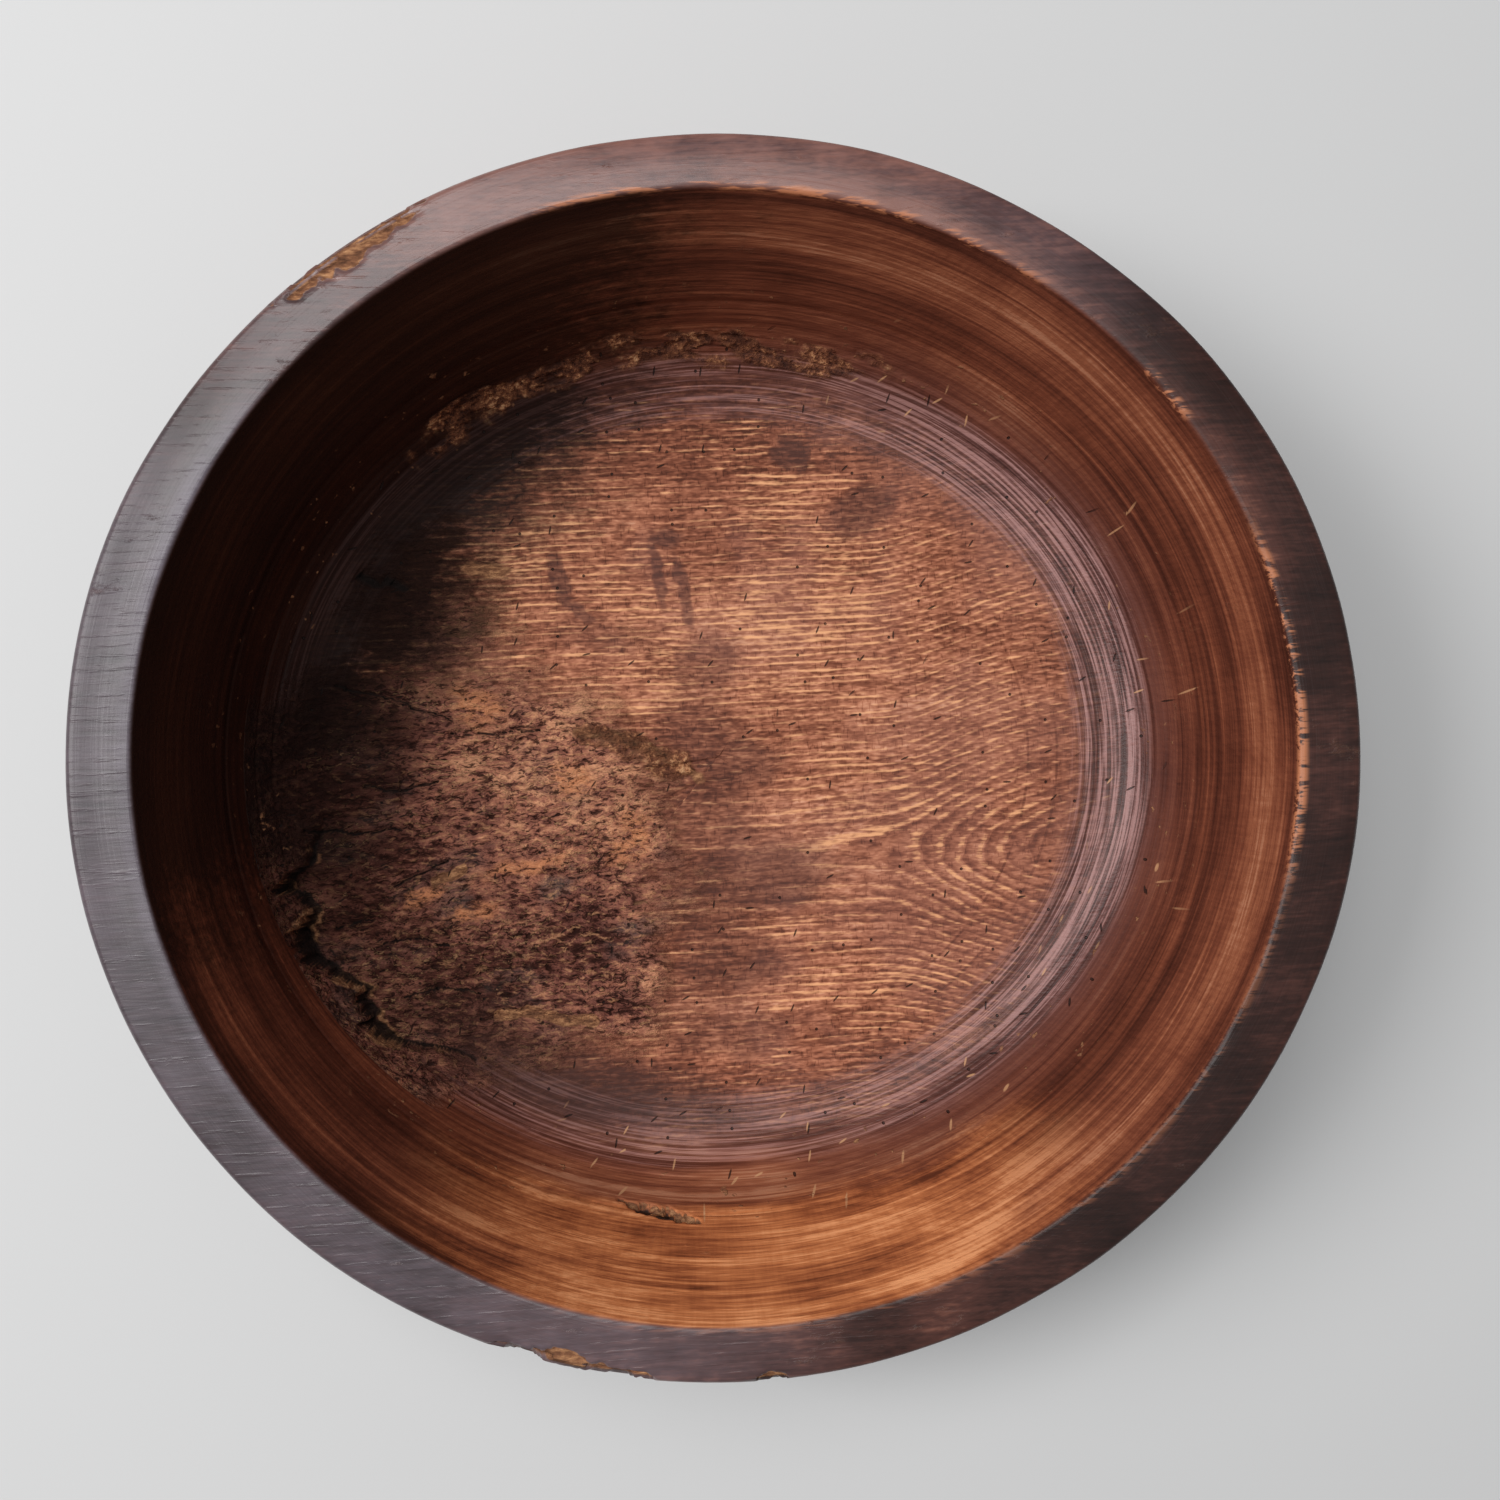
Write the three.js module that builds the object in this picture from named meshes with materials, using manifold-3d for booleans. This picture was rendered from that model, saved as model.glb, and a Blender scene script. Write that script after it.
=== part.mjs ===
// An old wooden kneading bowl, turned from one block of hardwood.
// The grain runs along X. The block has shrunk across the grain, so every ring that was turned
// round is now oval, and the floor has drawn in more than the mouth.
// Millimetres, +Z up, origin at the middle of the base.

import * as THREE from 'three';
import { mergeVertices } from 'three/addons/utils/BufferGeometryUtils.js';
import Module from 'manifold-3d';

// Outside. Lengths run along the grain, widths run across it.
const height = 130;
const rimLength = 480;
const rimWidth = 464;
const lipDepth = 24;
const rimEdgeRound = 3;
const baseInset = 15;

// Hollow, measured inwards from the rim
const rimBreadthAtEnds = 24.5;
const rimBreadthAtSides = 21.3;
const mouthEdgeRound = 2;
const wallRunAtEnds = 50.5;
const wallRunAtSides = 60;
const cornerRadius = 34;
const floorThickness = 22;
const floorDish = 1.5;

// Lines scored by the turner: on the corner by angle up from the floor, on the wall by height over it
const scoreDepth = 0.7;
const cornerScoreAngles = [47, 62];
const wallScoreHeights = [42];

// Rotted floor at the left, with a torn ledge along the foot of the wall. Plates of the old floor still
// stand in it as crust, each placed and sized by its share of the rotted length and width.
const rotCentre = new THREE.Vector2(-104, -44);
const rotLength = 184;
const rotWidth = 192;
const rotDepth = 4.5;
const rotLevelShare = 0.5;
const crustSink = 0.6;
const crustPlates = [
  { along: -0.30, across: 0.20, length: 0.22, width: 0.19 },
  { along: -0.21, across: 0.04, length: 0.24, width: 0.10 },
  { along: -0.31, across: -0.07, length: 0.17, width: 0.11 },
  { along: -0.15, across: -0.19, length: 0.20, width: 0.13 },
  { along: 0.03, across: -0.21, length: 0.20, width: 0.12 },
  { along: -0.02, across: 0.14, length: 0.19, width: 0.11 },
  { along: 0.04, across: 0.33, length: 0.24, width: 0.09 },
  { along: 0.21, across: 0.03, length: 0.20, width: 0.11 },
  { along: 0.23, across: -0.17, length: 0.24, width: 0.14 },
  { along: -0.03, across: -0.31, length: 0.19, width: 0.08 },
];
const ledgeStart = 182;
const ledgeEnd = 236;
const ledgeCornerAngle = 40;
const splinterCount = 16;
const splinterLength = 34;
const splinterWidth = 16;
const splinterReach = 13;
const splinterHeight = 26;
const splinterSink = 2;

// Chips and gouges, each placed by its angle round the bowl from +X
const rimChips = [
  { angle: 123, length: 66, bite: 9, drop: 5 },
  { angle: 249.5, length: 24, bite: 4, drop: 20 },
  { angle: 253, length: 32, bite: 7, drop: 5 },
  { angle: 258, length: 30, bite: 3, drop: 10 },
  { angle: 271.5, length: 12, bite: 3, drop: 7 },
];
const wallGouge = { angle: 260, heightOverFloor: 42, length: 28, height: 17, depth: 4 };
const beetleSlot = { angle: 150, length: 26, width: 6, depth: 9 };

// Facets round the bowl
const turns = 64;

const rimRadius = rimLength / 2;
const mouthRadius = rimRadius - rimBreadthAtEnds;
const floorRadius = mouthRadius - wallRunAtEnds;
const baseRadius = floorRadius - baseInset;
const mouthHalfWidth = rimWidth / 2 - rimBreadthAtSides;
const floorHalfWidth = mouthHalfWidth - wallRunAtSides;

const rimOval = rimWidth / rimLength;
const mouthOval = mouthHalfWidth / mouthRadius;
const floorOval = floorHalfWidth / floorRadius;

const wasm = await Module();
wasm.setup();

function degrees(angle) {
  return THREE.MathUtils.degToRad(angle);
}

// A closed geometry as a solid that can be joined and cut
function solidFrom(geometry) {
  const plain = geometry.clone();
  plain.deleteAttribute('normal');
  plain.deleteAttribute('uv');
  const merged = mergeVertices(plain, 1e-4);
  return new wasm.Manifold(new wasm.Mesh({
    numProp: 3,
    vertProperties: new Float32Array(merged.attributes.position.array),
    triVerts: new Uint32Array(merged.index.array),
  }));
}

function geometryFrom(solid) {
  const mesh = solid.getMesh();
  const geometry = new THREE.BufferGeometry();
  geometry.setAttribute('position', new THREE.BufferAttribute(mesh.vertProperties, mesh.numProp));
  geometry.setIndex(new THREE.BufferAttribute(mesh.triVerts, 1));
  geometry.computeVertexNormals();
  return geometry;
}

// Turning: a profile of radius and height, spun round the Z axis
function turned(profile) {
  const geometry = new THREE.LatheGeometry(profile, turns);
  return geometry.rotateX(Math.PI / 2);
}

// How far a turned ring has closed up across the grain, from the floor to the given upper oval
function ovalAt(z, upperOval) {
  const rise = (z - floorThickness) / (height - floorThickness);
  return floorOval + (upperOval - floorOval) * rise;
}

// Drying: every ring is drawn in across the grain by its own oval
function shrunkAcrossGrain(geometry, upperOval) {
  const place = geometry.attributes.position;
  for (let i = 0; i < place.count; i += 1) {
    place.setY(i, place.getY(i) * ovalAt(place.getZ(i), upperOval));
  }
  return geometry;
}

function arcPoints(centreR, centreZ, radiusR, radiusZ, from, to, steps) {
  return new THREE.EllipseCurve(centreR, centreZ, radiusR, radiusZ, from, to).getPoints(steps);
}

// The block as turned outside: flat base, swelling wall, upright lip, flat rim with an eased edge
function turnedBlock() {
  const lipBottom = height - lipDepth;
  const wall = arcPoints(baseRadius, lipBottom, rimRadius - baseRadius, lipBottom, -Math.PI / 2, 0, 12);
  const edge = arcPoints(
    rimRadius - rimEdgeRound, height - rimEdgeRound, rimEdgeRound, rimEdgeRound, 0, Math.PI / 2, 3,
  );
  const profile = [new THREE.Vector2(0, 0), ...wall, ...edge, new THREE.Vector2(0, height)];
  return shrunkAcrossGrain(turned(profile), rimOval);
}

// The corner between floor and wall is one arc, and the wall leaves it on the tangent to the mouth
const cornerCentre = new THREE.Vector2(floorRadius, floorThickness + floorDish + cornerRadius);
const mouthFoot = new THREE.Vector2(mouthRadius, height - mouthEdgeRound);
const toMouth = mouthFoot.clone().sub(cornerCentre);
const wallRise = toMouth.angle() + Math.PI / 2 - Math.acos(cornerRadius / toMouth.length());

// A point of the corner's arc, by its angle up from the floor
function cornerPoint(rise) {
  const spoke = new THREE.Vector2(Math.sin(rise), -Math.cos(rise));
  return spoke.multiplyScalar(cornerRadius).add(cornerCentre);
}

// A point of the wall's profile at a height over the floor
function wallPoint(heightOverFloor) {
  const foot = cornerPoint(wallRise);
  const share = (floorThickness + heightOverFloor - foot.y) / (mouthFoot.y - foot.y);
  return foot.lerp(mouthFoot, share);
}

// The hollow: dished floor, rounded corner, leaning wall and a mouth with its edge eased
function hollow() {
  const overcut = rimEdgeRound;
  const floor = arcPoints(0, floorThickness + floorDish, floorRadius, floorDish, -Math.PI / 2, 0, 4);
  const corner = arcPoints(
    cornerCentre.x, cornerCentre.y, cornerRadius, cornerRadius, -Math.PI / 2, wallRise - Math.PI / 2, 9,
  );
  const edgeRadius = mouthRadius + mouthEdgeRound;
  const edge = arcPoints(
    edgeRadius, height - mouthEdgeRound, mouthEdgeRound, mouthEdgeRound, Math.PI, Math.PI / 2, 3,
  );
  const profile = [
    ...floor,
    ...corner.slice(1),
    ...edge,
    new THREE.Vector2(edgeRadius, height + overcut),
    new THREE.Vector2(0, height + overcut),
  ];
  return shrunkAcrossGrain(turned(profile), mouthOval);
}

// A scored line: a thin ring of square section laid on its corner
function scoredRing(point) {
  const ring = new THREE.TorusGeometry(point.x, scoreDepth, 4, turns);
  return shrunkAcrossGrain(ring.translate(0, 0, point.y), mouthOval);
}

// A repeatable uneven share from 0 to 1, so that no two breaks are alike
function uneven(index, kind) {
  const wild = 1000 * Math.sin(12.9898 * index + 78.233 * kind);
  return wild - Math.floor(wild);
}

// A lump-shaped tool for chips and gouges, longest along its own X
function lump(length, width, depth) {
  return new THREE.SphereGeometry(0.5, 12, 8).scale(length, width, depth);
}

// A plate of crust as an upright stump with an uneven outline, up to a little under the old floor
function crustPlate(plate, index) {
  const corners = 10;
  const outline = [];
  for (let i = 0; i < corners; i += 1) {
    const around = degrees(360 * i / corners);
    const reach = (0.8 + 0.35 * uneven(i, index)) / 2;
    outline.push(new THREE.Vector2(
      rotLength * plate.length * reach * Math.cos(around),
      rotWidth * plate.width * reach * Math.sin(around),
    ));
  }
  const stump = new THREE.ExtrudeGeometry(
    new THREE.Shape(outline), { depth: floorThickness, bevelEnabled: false },
  );
  return stump.translate(
    rotCentre.x + rotLength * plate.along, rotCentre.y + rotWidth * plate.across, -crustSink,
  );
}

// The rotted hollow: a shallow dip with an uneven outline, level in the middle and fading out into the
// floor, that stops at the foot of the wall and leaves the plates of crust standing
function rotHollow() {
  const rings = 6;
  const sides = 36;
  const profile = [new THREE.Vector2(0, -rotDepth)];
  for (let i = 0; i <= rings; i += 1) {
    const share = rotLevelShare + (1 - rotLevelShare) * i / rings;
    const dip = rotDepth * (1 + Math.cos(Math.PI * i / rings)) / 2;
    profile.push(new THREE.Vector2(share / 2, -dip));
  }
  profile.push(new THREE.Vector2(0.5, rotDepth), new THREE.Vector2(0, rotDepth));
  const dip = new THREE.LatheGeometry(profile, sides).rotateX(Math.PI / 2);
  const place = dip.attributes.position;
  for (let i = 0; i < place.count; i += 1) {
    const around = Math.atan2(place.getY(i), place.getX(i));
    const lobes = 1 + 0.06 * Math.sin(3 * around) + 0.04 * Math.cos(5 * around);
    place.setX(i, place.getX(i) * rotLength * lobes);
    place.setY(i, place.getY(i) * rotWidth * lobes);
  }
  dip.translate(rotCentre.x, rotCentre.y, floorThickness + floorDish);
  const footRadius = cornerPoint(degrees(ledgeCornerAngle)).x;
  const withinFoot = turned([
    new THREE.Vector2(0, 0),
    new THREE.Vector2(footRadius, 0),
    new THREE.Vector2(footRadius, height),
    new THREE.Vector2(0, height),
  ]);
  const rotted = solidFrom(dip).intersect(solidFrom(shrunkAcrossGrain(withinFoot, mouthOval)));
  return crustPlates.map(crustPlate).reduce((left, plate) => left.subtract(solidFrom(plate)), rotted);
}

// The torn ledge: splinters pulled out along the grain, which leave upright notches of uneven reach
// side by side in the foot of the wall
function tornLedge() {
  const foot = cornerPoint(degrees(ledgeCornerAngle));
  const footWidth = foot.x * ovalAt(foot.y, mouthOval);
  const step = (ledgeEnd - ledgeStart) / splinterCount;
  const splinters = [];
  for (let i = 0; i < splinterCount; i += 1) {
    const angle = degrees(ledgeStart + step * (i + 0.2 + 0.6 * uneven(i, 1)));
    const reach = splinterReach * (0.15 + 0.85 * uneven(i, 2));
    const halfWidth = splinterWidth * (0.6 + 0.8 * uneven(i, 3)) / 2;
    const slant = splinterReach * (uneven(i, 4) - 0.5);
    const outline = new THREE.Shape([
      new THREE.Vector2(-reach, -0.6 * halfWidth),
      new THREE.Vector2(splinterLength - reach, -halfWidth),
      new THREE.Vector2(splinterLength - reach, halfWidth),
      new THREE.Vector2(-reach - slant, 0.5 * halfWidth),
    ]);
    const splinter = new THREE.ExtrudeGeometry(outline, { depth: splinterHeight, bevelEnabled: false });
    splinters.push(splinter.translate(
      foot.x * Math.cos(angle),
      footWidth * Math.sin(angle),
      floorThickness - splinterSink * (0.5 + uneven(i, 5)),
    ));
  }
  return splinters;
}

// Chips knocked off the outer edge of the rim
function rimChip(chip) {
  const angle = degrees(chip.angle);
  const tool = lump(chip.length, 2 * chip.bite, 2 * chip.drop);
  tool.rotateZ(Math.atan2(rimOval * Math.cos(angle), -Math.sin(angle)));
  return tool.translate(rimRadius * Math.cos(angle), rimRadius * rimOval * Math.sin(angle), height);
}

// A tool set on the hollow's face at a point of its profile, turned to lie along the face
function onFace(tool, point, angle, turn) {
  tool.rotateZ(turn);
  return tool.translate(
    point.x * Math.cos(angle),
    point.x * ovalAt(point.y, mouthOval) * Math.sin(angle),
    point.y,
  );
}

// The gouge low on the near wall, where beetles have broken through
function gougeInWall() {
  const angle = degrees(wallGouge.angle);
  const tool = lump(wallGouge.length, 2 * wallGouge.depth, wallGouge.height);
  return onFace(tool, wallPoint(wallGouge.heightOverFloor), angle, angle + Math.PI / 2);
}

// The long beetle slot at the left edge of the floor, which follows the grain
function slotInFloor() {
  const tool = lump(beetleSlot.length, beetleSlot.width, 2 * beetleSlot.depth);
  return onFace(tool, cornerPoint(0), degrees(beetleSlot.angle), 0);
}

const scoredLines = [
  ...cornerScoreAngles.map((angle) => cornerPoint(degrees(angle))),
  ...wallScoreHeights.map(wallPoint),
];
const cuts = [
  hollow(),
  ...scoredLines.map(scoredRing),
  ...tornLedge(),
  ...rimChips.map(rimChip),
  gougeInWall(),
  slotInFloor(),
];
const carved = cuts.reduce(
  (block, cut) => block.subtract(solidFrom(cut)),
  solidFrom(turnedBlock()).subtract(rotHollow()),
);

const lacqueredWood = new THREE.MeshStandardMaterial({ color: 0x5a3320, roughness: 0.55, metalness: 0 });
const bowl = new THREE.Mesh(geometryFrom(carved), lacqueredWood);
bowl.name = 'bowl';

const woodenBowl = new THREE.Group();
woodenBowl.add(bowl);

export default woodenBowl;
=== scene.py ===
import math

import bmesh
import bpy
import numpy as np
from mathutils import Euler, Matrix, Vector, noise


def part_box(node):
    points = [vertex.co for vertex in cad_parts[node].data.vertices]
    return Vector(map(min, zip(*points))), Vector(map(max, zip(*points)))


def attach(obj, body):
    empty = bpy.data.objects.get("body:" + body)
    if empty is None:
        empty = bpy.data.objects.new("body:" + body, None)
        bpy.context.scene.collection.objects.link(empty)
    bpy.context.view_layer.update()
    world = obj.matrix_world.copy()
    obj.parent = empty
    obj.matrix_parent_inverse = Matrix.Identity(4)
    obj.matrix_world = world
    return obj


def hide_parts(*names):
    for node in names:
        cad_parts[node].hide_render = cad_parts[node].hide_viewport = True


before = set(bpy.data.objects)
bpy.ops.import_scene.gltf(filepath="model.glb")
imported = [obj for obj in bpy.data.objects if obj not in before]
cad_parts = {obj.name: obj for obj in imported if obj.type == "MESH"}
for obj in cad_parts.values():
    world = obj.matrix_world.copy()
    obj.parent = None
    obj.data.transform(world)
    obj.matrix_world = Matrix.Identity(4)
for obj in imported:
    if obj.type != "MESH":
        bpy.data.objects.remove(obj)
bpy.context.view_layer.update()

# The bowl: one block of old hardwood, turned on a lathe with its grain lying along X.
# The turner's cut runs from the middle of the floor, up the wall, over the rim and down to the base.
# The block drew in across the grain as it dried, so every turned ring is now an oval.
MM = 0.001
high_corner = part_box("bowl")[1]
height = high_corner.z
rim_radius = high_corner.x
rim_half_width = high_corner.y
lip_depth = 24 * MM
rim_edge_round = 3 * MM
rim_breadth_at_ends = 24.5 * MM
rim_breadth_at_sides = 21.3 * MM
mouth_edge_round = 2.2 * MM
wall_run_at_ends = 50.5 * MM
wall_run_at_sides = 60 * MM
corner_round = 34 * MM
floor_thickness = 22 * MM
floor_dish = 1.5 * MM
base_inset = 15 * MM
corner_score_angles = (47, 62)
wall_score_height = 64 * MM
score_depth = 0.7 * MM
score_half_width = 1.3 * MM
turning_steps = 240
shortest_step = 0.01 * MM
merge_distance = 0.005 * MM

mouth_radius = rim_radius - rim_breadth_at_ends
floor_radius = mouth_radius - wall_run_at_ends
base_radius = floor_radius - base_inset
mouth_half_width = rim_half_width - rim_breadth_at_sides
rim_oval = rim_half_width / rim_radius
mouth_oval = mouth_half_width / mouth_radius
floor_oval = (mouth_half_width - wall_run_at_sides) / floor_radius


def arc(centre, across, up, start, end, steps):
    """Points of an arc of the cut, by angles in degrees from the level."""
    turns = np.radians(np.linspace(start, end, steps + 1))
    return [(centre[0] + across * math.cos(turn), centre[1] + up * math.sin(turn)) for turn in turns]


def straight(start, end, steps):
    """Points of a straight stretch of the cut."""
    return [tuple(point) for point in np.linspace(start, end, steps + 1)]


corner_centre = (floor_radius, floor_thickness + floor_dish + corner_round)
mouth_foot = (mouth_radius, height - mouth_edge_round)
to_mouth = (mouth_foot[0] - corner_centre[0], mouth_foot[1] - corner_centre[1])
corner_to_mouth = math.acos(corner_round / math.hypot(*to_mouth))
wall_rise = 90 + math.degrees(math.atan2(to_mouth[1], to_mouth[0]) - corner_to_mouth)
corner_cut = arc(corner_centre, corner_round, corner_round, -90, wall_rise - 90, 24)
lip_foot = height - lip_depth
stretches = {
    "floor": arc((0, floor_thickness + floor_dish), floor_radius, floor_dish, -90, 0, 45),
    "corner": corner_cut,
    "wall": straight(corner_cut[-1], mouth_foot, 26),
    "mouth_edge": arc(
        (mouth_radius + mouth_edge_round, mouth_foot[1]), mouth_edge_round, mouth_edge_round, 180, 90, 4,
    ),
    "rim": straight((mouth_radius + mouth_edge_round, height), (rim_radius - rim_edge_round, height), 7),
    "rim_edge": arc(
        (rim_radius - rim_edge_round, height - rim_edge_round), rim_edge_round, rim_edge_round, 90, 0, 4,
    ),
    "lip": straight((rim_radius, height - rim_edge_round), (rim_radius, lip_foot), 5),
    "side": arc((base_radius, lip_foot), rim_radius - base_radius, lip_foot, 0, -90, 22),
    "base": straight((base_radius, 0), (0, 0), 12),
}

# The stretches joined into one cut, and how far along it each stretch starts
cut = []
stretch_start = {}
cut_length = 0
for name, points in stretches.items():
    stretch_start[name] = cut_length
    for point in points:
        if cut:
            cut_length += math.dist(cut[-1][1:], point)
        cut.append((cut_length, *point))
cut = [point for point, after in zip(cut, cut[1:]) if after[0] - point[0] > shortest_step] + cut[-1:]


def scored(cut, distance):
    """The cut with a small V scored into it at a distance along it."""
    along, radius, level = np.array(cut).T
    before, middle, after = [
        np.array((np.interp(place, along, radius), np.interp(place, along, level)))
        for place in (distance - score_half_width, distance, distance + score_half_width)
    ]
    run = (after - before) / np.linalg.norm(after - before)
    into_wood = np.array((run[1], -run[0]))
    groove = [
        (distance - score_half_width, *before),
        (distance, *(middle + score_depth * into_wood)),
        (distance + score_half_width, *after),
    ]
    kept = [point for point in cut if abs(point[0] - distance) > score_half_width]
    return sorted(kept + groove)


score_places = [
    stretch_start["corner"] + corner_round * math.radians(turn) for turn in corner_score_angles
]
wall_foot_level = corner_cut[-1][1]
score_places.append(
    stretch_start["wall"] + (wall_score_height - wall_foot_level) / math.sin(math.radians(wall_rise))
)
for score_place in score_places:
    cut = scored(cut, score_place)

bowl_mesh = bmesh.new()
along_layer = bowl_mesh.verts.layers.float.new("along")
chain = []
for distance, radius, level in cut:
    vert = bowl_mesh.verts.new((radius, 0, level))
    vert[along_layer] = distance
    chain.append(vert)
chain_edges = [bowl_mesh.edges.new(pair) for pair in zip(chain, chain[1:])]
bmesh.ops.spin(
    bowl_mesh, geom=chain + chain_edges, cent=(0, 0, 0), axis=(0, 0, 1),
    angle=math.tau, steps=turning_steps, use_merge=True,
)
bmesh.ops.remove_doubles(bowl_mesh, verts=bowl_mesh.verts, dist=merge_distance)
bmesh.ops.recalc_face_normals(bowl_mesh, faces=bowl_mesh.faces)

for vert in bowl_mesh.verts:
    over_rim = (vert[along_layer] - stretch_start["mouth_edge"]) / rim_breadth_at_ends
    upper_oval = mouth_oval + (rim_oval - mouth_oval) * min(max(over_rim, 0), 1)
    rise = (vert.co.z - floor_thickness) / (height - floor_thickness)
    vert.co.y *= floor_oval + (upper_oval - floor_oval) * rise

# Damage, in places measured from the middle of the bowl.
# Damp has rotted the floor at the left into a wrinkled crust, and torn a ledge along the foot of the wall
# there. The floor has sunk, and plates of the old one still stand in it, each placed and sized by its
# share of the sunken length and width.
sunk_middle = (-104 * MM, -44 * MM)
sunk_length = 184 * MM
sunk_width = 192 * MM
sunk_depth = 4.5 * MM
sunk_level_share = 0.5
plate_sink = 0.6 * MM
plates = (
    {"along": -0.30, "across": 0.20, "length": 0.22, "width": 0.19},
    {"along": -0.21, "across": 0.04, "length": 0.24, "width": 0.10},
    {"along": -0.31, "across": -0.07, "length": 0.17, "width": 0.11},
    {"along": -0.15, "across": -0.19, "length": 0.20, "width": 0.13},
    {"along": 0.03, "across": -0.21, "length": 0.20, "width": 0.12},
    {"along": -0.02, "across": 0.14, "length": 0.19, "width": 0.11},
    {"along": 0.04, "across": 0.33, "length": 0.24, "width": 0.09},
    {"along": 0.21, "across": 0.03, "length": 0.20, "width": 0.11},
    {"along": 0.23, "across": -0.17, "length": 0.24, "width": 0.14},
    {"along": -0.03, "across": -0.31, "length": 0.19, "width": 0.08},
)
rot_middle = (-116 * MM, -44 * MM)
rot_half_length = 116 * MM
rot_half_width = 108 * MM
crust_height = 1.7 * MM
ledge_from, ledge_to = 186, 230
ledge_reach = 13 * MM
ledge_foot_angle = 40
ledge_sink = 2 * MM
crack_width = 0.9 * MM
crack_depth = 3 * MM
rot_cracks = (
    ((-143, -50), (-132, -46), (-121, -40)),
    ((-165, 38), (-146, 33), (-128, 26), (-115, 21)),
    ((-179, -24), (-160, -27), (-138, -25)),
    ((-116, 16), (-97, 14), (-78, 15)),
    ((-169, -68), (-161, -64), (-154, -65)),
    ((-150, -75), (-135, -73), (-120, -78)),
    ((-140, -98), (-125, -95), (-108, -99)),
    ((-155, -6), (-140, -9), (-124, -6)),
)
fibre_ridge_height = 1 * MM
fibre_ridge = ((-61, 14), (-50, 12), (-37, 8), (-26, 2), (-16, -4), (-9, -9))
fibre_slot_depth = 1.4 * MM
fibre_slots = (
    ((-101, -109), (-88, -108), (-75, -112), (-60, -113)),
    ((-126, -49), (-114, -44)),
    ((-106, 88), (-97, 86), (-90, 85)),
)
beetle_slot_depth = 5 * MM
beetle_slots = (((-151, 83), (-142, 82), (-134, 80)),)
crumble_from, crumble_to = 56, 136
crumble_half_width = 13 * MM
crumble_depth = 1.6 * MM
rim_chips = (
    {"angle": 123, "half_length": 36, "bite": 9, "drop": 2.2},
    {"angle": 249.5, "half_length": 9, "bite": 4, "drop": 6},
    {"angle": 253.2, "half_length": 17, "bite": 6.5, "drop": 2.5},
    {"angle": 258, "half_length": 15, "bite": 3, "drop": 4},
    {"angle": 271.5, "half_length": 6, "bite": 4, "drop": 3},
)
wall_gouge = {"angle": 260, "level": 64, "half_length": 17, "half_height": 4.5, "depth": 4}
edge_wear_depth = 0.7 * MM
wander_depth = 0.5 * MM

# The mesh is split finer where the wood is damaged, and a little way past it
rot_margin = 1.12
rot_up_wall = 15 * MM
crumble_up_corner = 8 * MM
crumble_up_wall = 14 * MM
chip_margin = 1.25
chip_in_rim = 8 * MM
chip_down_lip = 10 * MM
gouge_margin_angle = 9
gouge_margin_height = 11 * MM


def refine(mesh, longest, chosen):
    """Splits the edges whose middle is chosen until none there is longer than the given length."""
    while True:
        long_edges = []
        for edge in mesh.edges:
            middle = (edge.verts[0].co + edge.verts[1].co) / 2
            along = (edge.verts[0][along_layer] + edge.verts[1][along_layer]) / 2
            if edge.calc_length() > longest and chosen(middle, along):
                long_edges.append(edge)
        if not long_edges:
            return
        bmesh.ops.subdivide_edges(mesh, edges=long_edges, cuts=1, use_grid_fill=True)


def in_rot(point, along):
    across = abs(point.x - rot_middle[0]) / rot_half_length
    beside = abs(point.y - rot_middle[1]) / rot_half_width
    return along < stretch_start["wall"] + rot_up_wall and across ** 3 + beside ** 3 < rot_margin


def in_crumble(point, along):
    turn = math.degrees(math.atan2(point.y, point.x))
    over_foot = along > stretch_start["corner"] + crumble_up_corner
    under_top = along < stretch_start["wall"] + crumble_up_wall
    return over_foot and under_top and crumble_from < turn < crumble_to


def on_rim_edge(point, along):
    on_edge = stretch_start["rim"] + chip_in_rim < along < stretch_start["lip"] + chip_down_lip
    turn = math.degrees(math.atan2(point.y / rim_oval, point.x)) % 360
    reach = math.degrees(chip_margin * MM / rim_radius)
    return on_edge and any(abs(turn - chip["angle"]) < reach * chip["half_length"] for chip in rim_chips)


def in_gouge(point, along):
    turn = math.degrees(math.atan2(point.y, point.x)) % 360
    on_wall = stretch_start["corner"] < along < stretch_start["rim"]
    beside = abs(turn - wall_gouge["angle"]) < gouge_margin_angle
    level = abs(point.z - wall_gouge["level"] * MM) < gouge_margin_height
    return on_wall and beside and level


longest_edges = {in_rot: 1.4 * MM, in_crumble: 1.6 * MM, on_rim_edge: 1.5 * MM, in_gouge: 1.2 * MM}
for chosen, longest in longest_edges.items():
    refine(bowl_mesh, longest, chosen)
bowl_mesh.normal_update()

place = np.array([vert.co for vert in bowl_mesh.verts])
outward = np.array([vert.normal for vert in bowl_mesh.verts])
along = np.array([vert[along_layer] for vert in bowl_mesh.verts])
x, y, z = place.T
turn = np.arctan2(y / rim_oval, x)
turn_degrees = np.degrees(turn) % 360
in_hollow = along < stretch_start["mouth_edge"]


def smooth(start, end, value):
    """Share from 0 at start to 1 at end, easing in and out."""
    share = np.clip((value - start) / (end - start), 0, 1)
    return share * share * (3 - 2 * share)


def cloudy(points, size, octaves=3, shift=0.0):
    """An uneven field from about -1 to 1, with lumps of the given size in millimetres along X, Y and Z."""
    scaled = points / (np.array(size) * MM) + shift
    return np.array([noise.fractal(point, 1.0, 2.0, octaves) for point in scaled.tolist()])


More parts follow.
